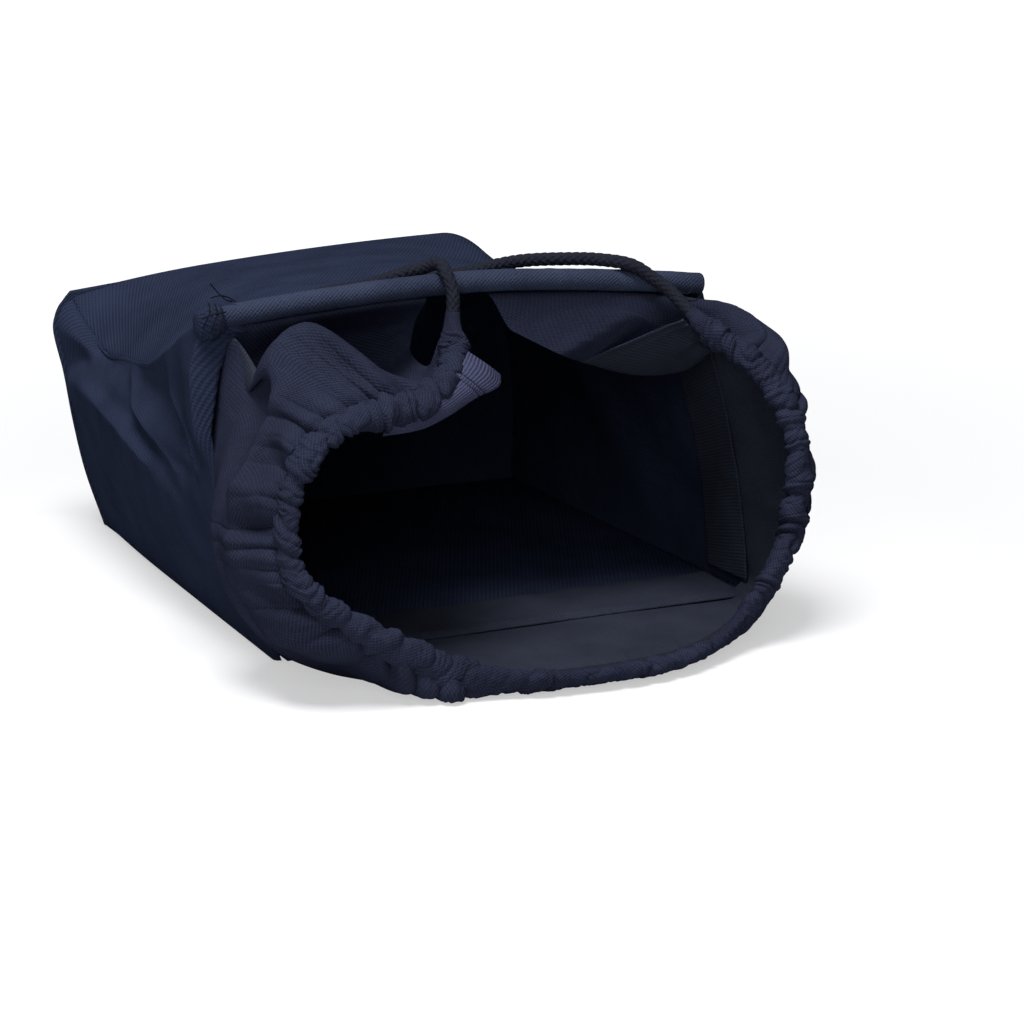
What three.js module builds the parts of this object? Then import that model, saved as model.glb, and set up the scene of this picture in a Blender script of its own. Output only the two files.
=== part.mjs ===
// Drawstring peg bag of stiff twill with a thin nylon collar, lying on its back panel.
// Millimetres, +Z up. X runs across the bag, the mouth faces -Y and the base faces +Y.
// The origin is at the centre of the back panel's underside.
import * as THREE from 'three';

// Bag body
const bagWidth = 230;
const bagLength = 260;
const twillThickness = 2;
const rodHeightLeft = 150;
const rodHeightRight = 149;
const rodBow = 8;
const baseHeightLeft = 124;
const baseHeightRight = 140.5;
const baseBow = 2.8;
const mouthLean = -31;
const baseLean = -13;
const clearance = 0.3;
const seamGap = 0.6;

// Slump of the cloth walls
const leftSeamSag = 32;
const leftSeamShift = 10;
const leftSeamReach = 70;
const rightSeamSag = 22;
const rightSeamReach = 100;
const rightCornerDrop = 15;
const rightCornerReach = 28;
const leftBulge = 13;
const rightBulge = 6;
const baseBulge = 6;

// Diagonal folds of the left gusset: distance from the mouth and height at each end of the ridge
const leftFolds = [
  { fromMouth: 246, fromZ: 84, toMouth: 60, toZ: 64, height: 5, width: 20 },
  { fromMouth: 204, fromZ: 92, toMouth: 26, toZ: 78, height: 4, width: 13 },
  { fromMouth: 96, fromZ: 116, toMouth: 12, toZ: 84, height: 3, width: 12 },
];

// Hems, rod and sleeve
const facingDepth = 36;
const facingFoot = 0.05;
const facingHead = 0.97;
const facingThickness = 1.2;
const facingGap = 0.7;
const sleeveDiameter = 9.5;
const rodDiameter = 5;
const rodInset = 1.5;
const patchWall = 2.5;
const patchLength = 14;

// Collar, cord channel and drawcord
const nylonThickness = 1.2;
const channelDiameter = 12;
const channelWall = 1.6;
const cordDiameter = 5.5;
const cordGap = 0.6;
const slitAcross = -0.03;
const slitWidth = 30;
const slitGather = 30;
const tabStart = 5;
const tabLength = 36;
const tabWidth = 17;
const tabHang = [0.8, 0, -0.6];

// The drawcord's route inside its channel, from the left exit round to the right exit.
// Each row is across (share of half the mouth), up (share of its height), forward of the
// mouth, and how far the collar swells sideways and upwards beside it.
const channelRoute = [
  [-0.122, 0.935, 13.5, -8, -2], [-0.14, 0.88, 16, -8, 2], [-0.23, 0.834, 30, -8, 8],
  [-0.38, 0.79, 42, -4, 14], [-0.545, 0.773, 50, 0, 20], [-0.716, 0.769, 56, -6, 22],
  [-0.877, 0.719, 60, -16, 16], [-0.986, 0.638, 62, -20, 10], [-1.054, 0.533, 64, -20, 4],
  [-1.086, 0.428, 66, -18, 0], [-1.065, 0.343, 70, -16, 0], [-0.968, 0.262, 74, -12, 0],
  [-0.78, 0.165, 78, -6, 2], [-0.563, 0.075, 82, 0, 2], [-0.317, 0.048, 87.6, 0, 0],
  [-0.04, 0.048, 91, 0, 0], [0.274, 0.049, 85.5, 0, 0], [0.54, 0.074, 73, 2, 0],
  [0.697, 0.134, 67, 4, 0], [0.816, 0.222, 66, 6, 0], [0.932, 0.333, 62, 7, 0],
  [1.01, 0.477, 60, 8, 0], [1.04, 0.618, 56, 8, 2], [1.018, 0.733, 50, 8, 3],
  [0.957, 0.817, 42, 6, -5], [0.886, 0.874, 31, 0, -16], [0.85, 0.938, 19, -20, -20],
];

// The drawcord's free route from the right exit over the sleeve, round its bight on the front
// panel and over the sleeve again to the left exit: across, up and forward as above.
const rightRunRoute = [
  [0.808, 0.998, 12], [0.76, 1.037, 8], [0.702, 1.072, 4.5], [0.6, 1.087, -3], [0.453, 1.091, -9],
  [0.331, 1.085, -16.5], [0.22, 1.074, -18.7], [0.139, 1.063, -18.5], [0.015, 1.054, -18.3],
  [-0.109, 1.048, -18],
];
const bightRoute = [
  [-0.24, 1.045, -17.6], [-0.363, 1.041, -17.3], [-0.46, 1.036, -16.6], [-0.522, 1.033, -14],
  [-0.534, 1.034, -11], [-0.485, 1.04, -8.6], [-0.397, 1.047, -8.2],
];
const leftRunRoute = [
  [-0.274, 1.068, -8.2], [-0.189, 1.084, -8], [-0.124, 1.095, -6.8], [-0.086, 1.108, -3.5],
  [-0.072, 1.11, 1.5], [-0.075, 1.089, 6.5], [-0.08, 1.036, 10.4], [-0.1, 0.985, 12],
];

const mouthY = -bagLength / 2;
const baseY = bagLength / 2;
const mouthHeight = (rodHeightLeft + rodHeightRight) / 2;
const sleeveRadius = sleeveDiameter / 2;
const channelRadius = channelDiameter / 2;
const wallFoot = twillThickness + clearance;
const { lerp, clamp } = THREE.MathUtils;

function point(x, y, z) {
  return new THREE.Vector3(x, y, z);
}

// A place given in the mouth's own measure: the mouth leans to the left as it rises.
function mouthPoint([across, up, forward]) {
  const z = Math.max(up * mouthHeight, channelRadius + clearance);
  return point(across * bagWidth / 2 + mouthLean * up, mouthY - forward, z);
}

// Height of the rod's centre line, from 0 at its left end to 1 at its right end.
function rodHeight(u) {
  return lerp(rodHeightLeft, rodHeightRight, u) + rodBow * Math.sin(Math.PI * u);
}

function rodPoint(u) {
  return point(lerp(-bagWidth / 2, bagWidth / 2, u) + mouthLean, mouthY, rodHeight(u));
}

// Falls from 1 at a seam to 0 at the given reach from it.
function nearSeam(distance, reach) {
  return clamp(1 - distance / reach, 0, 1) ** 2;
}

// Upper face of the front panel: u runs left to right and v from the sleeve to the base seam.
const panelRise = sleeveRadius - twillThickness;
const panelStart = mouthY + Math.sqrt(sleeveRadius ** 2 - panelRise ** 2) + clearance;
const seamSteps = 24;
const panelColumns = 18;

// Columns across the bag crowd towards both side seams, where the cloth curves most.
function columnShare(a) {
  return (1 - Math.cos(Math.PI * a)) / 2;
}

function frontPanelPoint(u, v) {
  const fromLeft = u * bagWidth;
  const fromRight = (1 - u) * bagWidth;
  const leftEdge = nearSeam(fromLeft, leftSeamReach);
  const rightEdge = nearSeam(fromRight, rightSeamReach);
  const slump = (1 - (1 - v) ** 4) * (1 - v ** 16);
  const cornerDrop = rightCornerDrop * nearSeam(fromRight, rightCornerReach);
  const baseHeight = lerp(baseHeightLeft, baseHeightRight, u) + baseBow * Math.sin(Math.PI * u) - cornerDrop;
  const x = lerp(-bagWidth / 2, bagWidth / 2, u) + lerp(mouthLean, baseLean, v)
    + leftSeamShift * Math.sin(Math.PI * v ** 2) * leftEdge;
  const z = lerp(rodHeight(u) - panelRise, baseHeight, v)
    - leftSeamSag * slump * leftEdge - rightSeamSag * Math.sin(Math.PI * v) * rightEdge;
  return point(x, lerp(panelStart, baseY, v), z);
}

// The same face at a distance along the bag.
function frontPanelAt(u, y) {
  return frontPanelPoint(u, clamp((y - panelStart) / (baseY - panelStart), 0, 1));
}

// Outer face of a side gusset at a distance along the bag: w runs from the floor to the seam.
function gussetPoint(side, y, w) {
  const v = clamp((y - mouthY) / bagLength, 0, 1);
  const seam = frontPanelAt(side < 0 ? 0 : 1, y);
  const z = lerp(wallFoot, seam.z - twillThickness - seamGap, w);
  const leftSwell = leftBulge * Math.sin(Math.PI * w ** (1 + v)) + foldHeight(y, z);
  const swell = side < 0 ? leftSwell : rightBulge * Math.sin(Math.PI * w);
  return point(lerp(side * bagWidth / 2, seam.x, w) + side * swell, y, z);
}

// How far the left gusset's diagonal folds stand out at a place on it.
function foldHeight(y, z) {
  let height = 0;
  for (const fold of leftFolds) {
    const share = (y - mouthY - fold.fromMouth) / (fold.toMouth - fold.fromMouth);
    const ends = Math.max(0, Math.sin(Math.PI * clamp(share, 0, 1)));
    const away = Math.abs(z - lerp(fold.fromZ, fold.toZ, share));
    height += fold.height * ends * Math.max(0, 1 - away / fold.width);
  }
  return height;
}

// Closed sheet of cloth: pointAt(a, b) is its outer face and offsetAt(a, b) leads to its inner face.
function sheet(pointAt, offsetAt, columns, rows) {
  const vertices = [];
  const triangles = [];
  const layer = (columns + 1) * (rows + 1);
  const index = (i, j, side) => side * layer + j * (columns + 1) + i;
  const quad = (a, b, c, d) => triangles.push(a, b, c, a, c, d);
  for (const side of [0, 1]) {
    for (let j = 0; j <= rows; j += 1) {
      for (let i = 0; i <= columns; i += 1) {
        const place = pointAt(i / columns, j / rows);
        if (side === 1) {
          place.add(offsetAt(i / columns, j / rows));
        }
        vertices.push(place.x, place.y, place.z);
      }
    }
  }
  for (let j = 0; j < rows; j += 1) {
    for (let i = 0; i < columns; i += 1) {
      quad(index(i, j, 0), index(i + 1, j, 0), index(i + 1, j + 1, 0), index(i, j + 1, 0));
      quad(index(i, j, 1), index(i, j + 1, 1), index(i + 1, j + 1, 1), index(i + 1, j, 1));
    }
  }
  for (let i = 0; i < columns; i += 1) {
    quad(index(i, 0, 0), index(i, 0, 1), index(i + 1, 0, 1), index(i + 1, 0, 0));
    quad(index(i, rows, 0), index(i + 1, rows, 0), index(i + 1, rows, 1), index(i, rows, 1));
  }
  for (let j = 0; j < rows; j += 1) {
    quad(index(0, j, 0), index(0, j + 1, 0), index(0, j + 1, 1), index(0, j, 1));
    quad(index(columns, j, 0), index(columns, j, 1), index(columns, j + 1, 1), index(columns, j + 1, 0));
  }
  return facingOut(vertices, triangles);
}

// Turns the triangles round where the solid's volume comes out negative.
function facingOut(vertices, triangles) {
  const corner = (k) => new THREE.Vector3().fromArray(vertices, 3 * k);
  let volume = 0;
  for (let t = 0; t < triangles.length; t += 3) {
    const [a, b, c] = triangles.slice(t, t + 3).map(corner);
    volume += a.dot(b.cross(c));
  }
  const geometry = new THREE.BufferGeometry();
  geometry.setAttribute('position', new THREE.Float32BufferAttribute(vertices, 3));
  geometry.setIndex(volume < 0 ? triangles.slice().reverse() : triangles);
  geometry.computeVertexNormals();
  return geometry;
}

function polygon(radius, sides) {
  const corners = [];
  for (let k = 0; k < sides; k += 1) {
    const angle = 2 * Math.PI * k / sides;
    corners.push(new THREE.Vector2(radius * Math.cos(angle), radius * Math.sin(angle)));
  }
  return corners;
}

// Tube along a curve: solid, or hollow where a bore radius is given.
function tube(curve, radius, sides, steps, bore = 0) {
  const section = new THREE.Shape(polygon(radius, sides));
  if (bore > 0) {
    section.holes.push(new THREE.Path(polygon(bore, sides)));
  }
  return new THREE.ExtrudeGeometry(section, { steps, bevelEnabled: false, extrudePath: curve });
}

function smoothCurve(points) {
  return new THREE.CatmullRomCurve3(points, false, 'centripetal');
}

function cloth(color, roughness) {
  return new THREE.MeshStandardMaterial({ color, roughness, metalness: 0 });
}

const twill = cloth(0x14161f, 0.85);
const nylon = cloth(0x1a1824, 0.5);
const braid = cloth(0x0d0d12, 0.7);
const plastic = cloth(0xb9bcc4, 0.4);

const bag = new THREE.Group();

function add(name, geometry, material) {
  const mesh = new THREE.Mesh(geometry, material);
  mesh.name = name;
  bag.add(mesh);
}

// Back panel, flat on the floor
function addBackPanel() {
  const slab = new THREE.BoxGeometry(bagWidth, bagLength, twillThickness);
  slab.translate(0, 0, twillThickness / 2);
  add('back_panel', slab, twill);
}

// Side gussets standing on the back panel, up to the front panel's seams
function addSideGussets() {
  const rearEnd = baseY - twillThickness - clearance;
  const along = (a) => (a === 0 ? mouthY : Math.min(lerp(panelStart, baseY, a), rearEnd));
  for (const [name, side, rows] of [['left_gusset', -1, 16], ['right_gusset', 1, 6]]) {
    const outer = (a, b) => gussetPoint(side, along(a), b);
    const inward = () => point(-side * twillThickness, 0, 0);
    add(name, sheet(outer, inward, seamSteps, rows), twill);
  }
}

// Base gusset between the two side gussets, closing the end opposite the mouth
function addBaseGusset() {
  const outer = (a, b) => {
    const left = gussetPoint(-1, baseY, b);
    const right = gussetPoint(1, baseY, b);
    const u = columnShare(a);
    const seam = frontPanelPoint(u, 1);
    const z = lerp(wallFoot, seam.z - twillThickness - seamGap, b);
    const swell = baseBulge * Math.sin(Math.PI * u) * Math.sin(Math.PI * b);
    return point(lerp(left.x, right.x, u), baseY + swell, z);
  };
  const inward = (a, b) => {
    const u = columnShare(a);
    const slope = frontPanelAt(u, baseY - twillThickness).z - frontPanelAt(u, baseY).z;
    return point(0, -twillThickness, Math.min(slope, 0) * b);
  };
  add('base_gusset', sheet(outer, inward, panelColumns, 8), twill);
}

// Turned-in hems inside the mouth, on the gussets and on the back panel
function addHemFacings() {
  const inset = twillThickness + facingGap;
  for (const [name, side] of [['left_hem_facing', -1], ['right_hem_facing', 1]]) {
    const outer = (a, b) => {
      const y = lerp(mouthY, mouthY + facingDepth, a);
      const place = gussetPoint(side, y, lerp(facingFoot, facingHead, b));
      return place.setX(place.x - side * inset);
    };
    add(name, sheet(outer, () => point(-side * facingThickness, 0, 0), 6, 10), twill);
  }
  const sideRoom = inset + facingThickness + clearance;
  const width = bagWidth - 2 * sideRoom;
  const strip = new THREE.BoxGeometry(width, facingDepth, facingThickness);
  strip.translate(0, mouthY + facingDepth / 2, wallFoot + facingThickness / 2);
  add('lower_hem_facing', strip, twill);
}

// Front panel between the sleeve, the two side seams and the base seam
function addFrontPanel() {
  const outer = (a, b) => frontPanelPoint(columnShare(a), b);
  add('front_panel', sheet(outer, () => point(0, 0, -twillThickness), panelColumns, seamSteps), twill);
}

// Rolled sleeve along the front panel's mouth edge, the rod in it, and the patch on its left end
function addSleeveAndRod() {
  const steps = 10;
  const along = (from, to) => smoothCurve(
    Array.from({ length: steps + 1 }, (_, k) => rodPoint(lerp(from, to, k / steps))),
  );
  const inset = rodInset / bagWidth;
  add('rod_sleeve', tube(along(0, 1), sleeveRadius, 12, steps, rodDiameter / 2 + clearance), twill);
  add('rod', tube(along(inset, 1 - inset), rodDiameter / 2, 10, steps), plastic);
  const end = rodPoint(0);
  const patch = new THREE.BoxGeometry(patchWall, patchLength, sleeveDiameter);
  patch.translate(end.x - seamGap - patchWall / 2, end.y - sleeveRadius + patchLength / 2, end.z);
  add('sleeve_end_patch', patch, twill);
}

// Edge of the mouth where the collar is sewn on, from the slit round to the slit again
function mouthLoop() {
  const y = mouthY - clearance - nylonThickness / 2;
  const underSleeve = sleeveRadius + clearance + nylonThickness / 2;
  const slit = 0.5 + slitAcross / 2;
  const halfSlit = slitWidth / bagWidth / 2;
  const cornerShare = 0.05;
  const points = [];
  const top = (u) => {
    const place = rodPoint(u);
    points.push(point(place.x, y, place.z - underSleeve));
  };
  const wall = (side, w) => {
    const place = gussetPoint(side, mouthY, w);
    points.push(point(place.x - side * twillThickness / 2, y, place.z));
  };
  const count = 8;
  for (let k = 0; k <= count; k += 1) {
    top(lerp(slit - halfSlit, cornerShare, k / count));
  }
  for (let k = 0; k <= count; k += 1) {
    wall(-1, lerp(1 - cornerShare, cornerShare, k / count));
  }
  for (let k = 0; k <= count; k += 1) {
    const x = lerp(-1, 1, lerp(cornerShare, 1 - cornerShare, k / count)) * bagWidth / 2;
    points.push(point(x, y, nylonThickness));
  }
  for (let k = 0; k <= count; k += 1) {
    wall(1, lerp(cornerShare, 1 - cornerShare, k / count));
  }
  for (let k = 0; k <= count; k += 1) {
    top(lerp(1 - cornerShare, slit + halfSlit, k / count));
  }
  return smoothCurve(points);
}

const sewnEdge = mouthLoop();

// The drawcord is one closed loop; a stretch of it runs between two of the route's rows.
const freeRoute = [...rightRunRoute, ...bightRoute, ...leftRunRoute];
const loopRows = channelRoute.length + freeRoute.length;
const cordPoints = [...channelRoute, ...freeRoute].map(mouthPoint);
const cordLoop = new THREE.CatmullRomCurve3(cordPoints, true, 'centripetal');

function cordStretch(fromRow, toRow, trim) {
  const perRow = 4;
  const count = Math.round((toRow - fromRow) * perRow);
  const places = [];
  for (let k = 0; k <= count; k += 1) {
    places.push(cordLoop.getPoint((fromRow + k / perRow) / loopRows));
  }
  const whole = smoothCurve(places);
  const cut = trim / whole.getLength();
  return smoothCurve(places.map((_, k) => whole.getPointAt(lerp(cut, 1 - cut, k / count))));
}

const exitRow = channelRoute.length - 1;
const channelCurve = cordStretch(0, exitRow, 0);

// Swell of the collar beside the channel, at evenly spaced stations along the route
const stationSpacing = 100;
const swells = channelRoute.map(([, , , sideways, upwards], k) => (
  point(sideways, k * stationSpacing, upwards)
));
const swellCurve = smoothCurve(swells);

// Share of the channel that a share of the sewn edge is gathered onto: the cloth between the
// right corner of the mouth and the slit bunches up on the last stretch before the right exit.
const rightCorner = 1 - ((1 - slitAcross) * bagWidth - slitWidth) / 2 / sewnEdge.getLength();
const bunched = slitGather / channelCurve.getLength();

function channelShare(s) {
  if (s < rightCorner) {
    return s / rightCorner * (1 - bunched);
  }
  return 1 - bunched * (1 - s) / (1 - rightCorner);
}

// A curve's two handles lead its middle by this much, so that it swells by the amount asked for.
const swellHandle = 4 / 3;

// Middle of the collar's cloth: s runs round the mouth and t from the sewn edge to the channel.
function collarPoint(s, t) {
  const sewn = sewnEdge.getPointAt(s);
  const share = channelShare(s);
  const drawn = channelCurve.getPointAt(share);
  const swell = swellCurve.getPoint(channelCurve.getUtoTmapping(share)).setY(0).multiplyScalar(swellHandle);
  const third = (sewn.y - drawn.y) / 3;
  const leaving = sewn.clone().add(point(swell.x, -third, 0));
  const along = channelCurve.getTangentAt(share);
  const back = sewn.clone().sub(drawn).projectOnPlane(along).setLength(third);
  back.add(swell).projectOnPlane(along);
  const reach = channelRadius + clearance + nylonThickness / 4;
  const edge = drawn.clone().add(back.clone().setLength(reach));
  const arriving = drawn.clone().add(back.clampLength(2 * reach, Infinity));
  return new THREE.CubicBezierCurve3(sewn, leaving, arriving, edge).getPoint(t);
}

// Half the cloth's thickness along its normal, measured on the surface itself
function halfThickness(surface, s, t, thickness) {
  const step = 0.002;
  const low = (value) => Math.max(value - step, 0);
  const high = (value) => Math.min(value + step, 1);
  const round = surface(high(s), t).sub(surface(low(s), t));
  const across = surface(s, high(t)).sub(surface(s, low(t)));
  return round.cross(across).setLength(thickness / 2);
}

function addCollar() {
  const outer = (s, t) => collarPoint(s, t).sub(halfThickness(collarPoint, s, t, nylonThickness));
  const through = (s, t) => halfThickness(collarPoint, s, t, nylonThickness).multiplyScalar(2);
  add('collar', sheet(outer, through, 72, 7), nylon);
}

// Gathered channel along the collar's free edge, with the cord inside it
function addChannel() {
  const steps = 54;
  const bore = channelRadius - channelWall;
  add('cord_channel', tube(channelCurve, channelRadius, 8, steps, bore), nylon);
  add('drawcord_channel_run', tube(channelCurve, cordDiameter / 2, 8, steps), braid);
}

// Hemmed end of the collar that hangs into the mouth along the channel's first stretch
function addCollarTab() {
  const inwards = point(...tabHang);
  const outer = (a, b) => {
    const share = lerp(tabStart, tabStart + tabLength, a) / channelCurve.getLength();
    const away = inwards.clone().projectOnPlane(channelCurve.getTangentAt(share));
    away.setLength(channelRadius + clearance + nylonThickness / 2 + tabWidth * b);
    return channelCurve.getPointAt(share).add(away);
  };
  const through = (a, b) => halfThickness(outer, a, b, nylonThickness).multiplyScalar(2);
  add('collar_tab', sheet(outer, through, 6, 3), nylon);
}

// Free drawcord in three lengths that meet end to end
function addFreeCord() {
  const bightStart = exitRow + rightRunRoute.length + 0.5;
  const bightEnd = bightStart + bightRoute.length;
  const lengths = [
    ['drawcord_right_run', exitRow, bightStart],
    ['drawcord_bight', bightStart, bightEnd],
    ['drawcord_left_run', bightEnd, loopRows],
  ];
  for (const [name, fromRow, toRow] of lengths) {
    const curve = cordStretch(fromRow, toRow, cordGap);
    const steps = Math.ceil(curve.getLength() / (2 * cordDiameter));
    add(name, tube(curve, cordDiameter / 2, 8, steps), braid);
  }
}

addBackPanel();
addSideGussets();
addBaseGusset();
addHemFacings();
addFrontPanel();
addSleeveAndRod();
addCollar();
addChannel();
addCollarTab();
addFreeCord();

export default bag;
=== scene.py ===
import math

import bpy
import numpy as np
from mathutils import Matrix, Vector


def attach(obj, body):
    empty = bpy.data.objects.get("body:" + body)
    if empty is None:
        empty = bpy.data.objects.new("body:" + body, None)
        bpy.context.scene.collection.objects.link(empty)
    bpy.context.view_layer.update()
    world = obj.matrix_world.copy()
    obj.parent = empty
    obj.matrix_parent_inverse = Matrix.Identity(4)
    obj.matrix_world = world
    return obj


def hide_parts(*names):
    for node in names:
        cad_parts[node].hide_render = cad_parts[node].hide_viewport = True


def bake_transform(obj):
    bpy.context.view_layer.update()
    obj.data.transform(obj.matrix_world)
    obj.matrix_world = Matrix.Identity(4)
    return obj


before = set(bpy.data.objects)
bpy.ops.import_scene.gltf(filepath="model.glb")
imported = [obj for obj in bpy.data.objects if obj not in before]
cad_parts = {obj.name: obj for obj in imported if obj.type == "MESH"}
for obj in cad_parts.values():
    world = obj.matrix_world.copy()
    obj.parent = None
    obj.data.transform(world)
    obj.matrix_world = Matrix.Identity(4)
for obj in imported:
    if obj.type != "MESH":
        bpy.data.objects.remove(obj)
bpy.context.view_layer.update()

# Driving sizes in millimetres, as the solids have them
MM = 0.001
BAG_WIDTH = 230.0
BAG_LENGTH = 260.0
TWILL = 2.0
CLEARANCE = 0.3
ROD_HEIGHT_LEFT = 150.0
ROD_HEIGHT_RIGHT = 149.0
ROD_BOW = 8.0
BASE_HEIGHT_LEFT = 124.0
BASE_HEIGHT_RIGHT = 140.5
BASE_BOW = 2.8
MOUTH_LEAN = -31.0
BASE_LEAN = -13.0
LEFT_SAG = 32.0
LEFT_SHIFT = 10.0
LEFT_REACH = 70.0
RIGHT_SAG = 22.0
RIGHT_REACH = 100.0
CORNER_DROP = 15.0
CORNER_REACH = 28.0
WALL_BULGE = 6.0
SLEEVE_RADIUS = 4.75
ROD_RADIUS = 2.5
FACING_DEPTH = 36.0
CHANNEL_RADIUS = 6.0
CORD_DIAMETER = 5.5
MOUTH_Y = -BAG_LENGTH / 2
BASE_Y = BAG_LENGTH / 2
MOUTH_HEIGHT = (ROD_HEIGHT_LEFT + ROD_HEIGHT_RIGHT) / 2
SLIT = 0.485
HALF_SLIT = 0.065
SLIT_GATHER = 30.0

# Thicknesses of the cloth as it shows, and how far the rod shows beyond its sleeve
THIN_TWILL = 0.6 * TWILL
NYLON = 0.7
FACING_CLOTH = 1.0
SLEEVE_CLOTH = 1.5
TAB_CLOTH = 1.2
ROD_SHOWS = 0.9

# The drawcord's route, each row across, up and forward in the mouth's own measure
CHANNEL_ROUTE = [
    (-0.122, 0.935, 13.5), (-0.14, 0.88, 16), (-0.23, 0.834, 30), (-0.38, 0.79, 42), (-0.545, 0.773, 50),
    (-0.716, 0.769, 56), (-0.877, 0.719, 60), (-0.986, 0.638, 62), (-1.054, 0.533, 64), (-1.086, 0.428, 66),
    (-1.065, 0.343, 70), (-0.968, 0.262, 74), (-0.78, 0.165, 78), (-0.563, 0.075, 82), (-0.317, 0.048, 87.6),
    (-0.04, 0.048, 91), (0.274, 0.049, 85.5), (0.54, 0.074, 73), (0.697, 0.134, 67), (0.816, 0.222, 66),
    (0.932, 0.333, 62), (1.01, 0.477, 60), (1.04, 0.618, 56), (1.018, 0.733, 50), (0.957, 0.817, 42),
    (0.886, 0.874, 31), (0.85, 0.938, 19),
]
FREE_ROUTE = [
    (0.808, 0.998, 12), (0.76, 1.037, 8), (0.702, 1.072, 4.5), (0.6, 1.087, -3), (0.453, 1.091, -9),
    (0.331, 1.085, -16.5), (0.22, 1.074, -18.7), (0.139, 1.063, -18.5), (0.015, 1.054, -18.3),
    (-0.109, 1.048, -18), (-0.24, 1.045, -17.6), (-0.363, 1.041, -17.3), (-0.46, 1.036, -16.6),
    (-0.522, 1.033, -14), (-0.534, 1.034, -11), (-0.485, 1.04, -8.6), (-0.397, 1.047, -8.2),
    (-0.274, 1.068, -8.2), (-0.189, 1.084, -8), (-0.124, 1.095, -6.8), (-0.086, 1.108, -3.5),
    (-0.072, 1.11, 1.5), (-0.075, 1.089, 6.5), (-0.08, 1.036, 10.4), (-0.1, 0.985, 12),
]

# Lines that the slumped left gusset runs through, each from the base to the mouth as (y, x, z)
LEFT_LINES = [
    [(130, -115, 1), (60, -118, 1), (-20, -119.5, 1), (-128, -121, 1)],
    [(130, -124, 30), (60, -128, 30), (-20, -131, 30), (-128, -131, 30)],
    [(130, -129.5, 58), (90, -134, 56), (20, -137.5, 54), (-60, -140.5, 50), (-128, -140, 52)],
    [(130, -132.5, 79), (111, -137, 80.5), (68, -139, 79.7), (14, -141, 75.6), (-50, -143, 69.8),
     (-100, -144.5, 68), (-128, -144.5, 70)],
    [(130, -133.5, 85), (109, -128.5, 91), (90, -130.5, 87.5), (62, -133.5, 84.3), (14, -136, 81),
     (-50, -140, 77), (-128, -146, 79)],
    [(130, -137.5, 107), (109, -130.5, 100), (90, -126, 93.5), (62, -130, 90.3), (33, -133.5, 88.9),
     (-22, -139.5, 85.8), (-66, -142.5, 84.4), (-109, -145.5, 82.5), (-128, -147.2, 86)],
    [(130, -135, 115), (109, -128, 102.5), (90, -124, 95), (62, -126, 94.5), (33, -128.5, 97),
     (-22, -134, 99), (-66, -139.5, 98), (-94, -142.5, 94), (-113, -145, 88.5), (-128, -148, 92)],
    [(130, -131, 119.5), (109, -126, 103.5), (90, -123, 95.7), (62, -124.5, 96.3), (33, -127, 101),
     (-22, -135, 106.5), (-69, -143, 112), (-94, -145.5, 105), (-113, -146.5, 95), (-128, -149, 104)],
    [(130, -129.5, 120.3), (114, -124.5, 106.5), (86, -123.2, 97.8), (66, -123.2, 99.7), (38, -125.5, 103),
     (-2, -132, 109), (-34, -138, 117.5), (-78, -146, 130.5), (-108, -149.5, 141.5), (-128, -150, 149)],
]

# Width of the left hem where it turns to face the mouth, by height
LEFT_HEM = [(0, 3), (60, 3), (85, 3), (107, 8), (131, 13), (147, 15)]

RNG_SEED = 20
CURVE_KNOTS = 2048
FIELD_KNOTS = 128
TAU = 2 * math.pi
UP = np.array((0.0, 0.0, 1.0))


def lerp(a, b, t):
    return a + (b - a) * t


def smooth(t):
    t = np.clip(t, 0, 1)
    return t * t * (3 - 2 * t)


# 1 between two places, with a soft rise after the first and a soft fall before the last
def between(x, first, last, fade):
    return smooth((x - first) / fade) * smooth((last - x) / fade)


def unit(vectors):
    return vectors / np.maximum(np.linalg.norm(vectors, axis=-1, keepdims=True), 1e-9)


def places(x, y, z):
    return np.stack(np.broadcast_arrays(x, y, z), axis=-1).astype(float)


# Smooth random curves and fields, the same at each run
def wobble(x, spacing, seed):
    knots = np.random.default_rng(RNG_SEED + seed).uniform(-1, 1, CURVE_KNOTS)
    cell = np.floor(np.asarray(x) / spacing).astype(int)
    share = smooth(np.asarray(x) / spacing - cell)
    return lerp(knots[cell % CURVE_KNOTS], knots[(cell + 1) % CURVE_KNOTS], share)


def ripple(x, y, spacing, seed):
    knots = np.random.default_rng(RNG_SEED + seed).uniform(-1, 1, (FIELD_KNOTS, FIELD_KNOTS))
    i = np.floor(x / spacing).astype(int)
    j = np.floor(y / spacing).astype(int)
    a = smooth(x / spacing - i)
    b = smooth(y / spacing - j)
    i0, i1 = i % FIELD_KNOTS, (i + 1) % FIELD_KNOTS
    j0, j1 = j % FIELD_KNOTS, (j + 1) % FIELD_KNOTS
    low = lerp(knots[i0, j0], knots[i1, j0], a)
    high = lerp(knots[i0, j1], knots[i1, j1], a)
    return lerp(low, high, b)


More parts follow.
